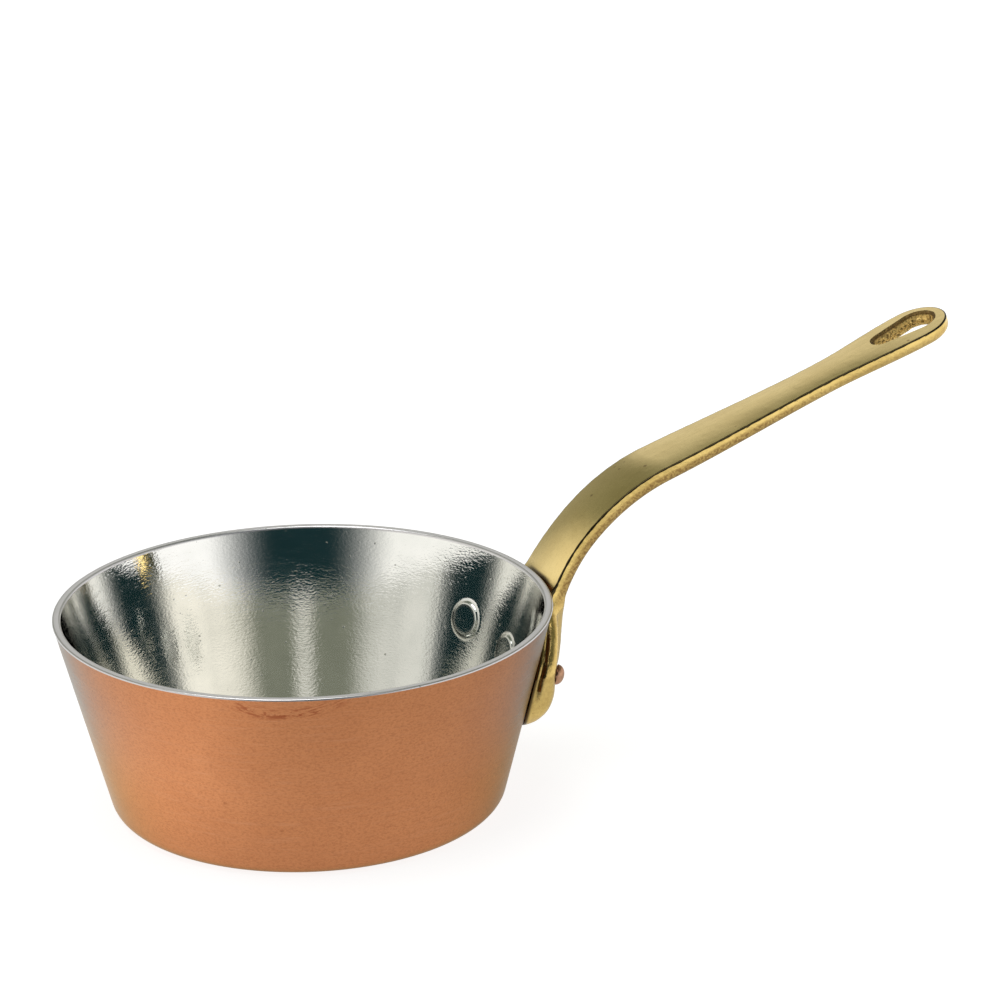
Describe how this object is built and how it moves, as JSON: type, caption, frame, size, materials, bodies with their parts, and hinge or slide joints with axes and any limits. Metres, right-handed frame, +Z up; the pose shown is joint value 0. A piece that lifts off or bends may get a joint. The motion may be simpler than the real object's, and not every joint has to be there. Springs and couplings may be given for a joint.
{
  "type": "saucepan",
  "caption": "Small splayed copper saucepan, tinned inside, with a long cast brass handle riveted to its wall and a hanging hole at the handle's end.",
  "frame": {"origin": "centre of the base's underside, on the table", "axes": "+Z up along the pan's axis, +X along the handle towards its hanging hole"},
  "size_m": [0.2417, 0.1234, 0.104],
  "materials": {
    "copper": "satin, faintly brushed copper",
    "tin": "wiped tin, half bright",
    "brass": "cast brass, polished on top and rough at the sides",
    "rivet_copper": "satin copper"
  },
  "bodies": {
    "root": {"copper_body": "copper", "tin_lining": "tin", "brass_handle": "brass", "rivet_left": "rivet_copper", "rivet_centre": "rivet_copper", "rivet_right": "rivet_copper"}
  },
  "joints": []
}
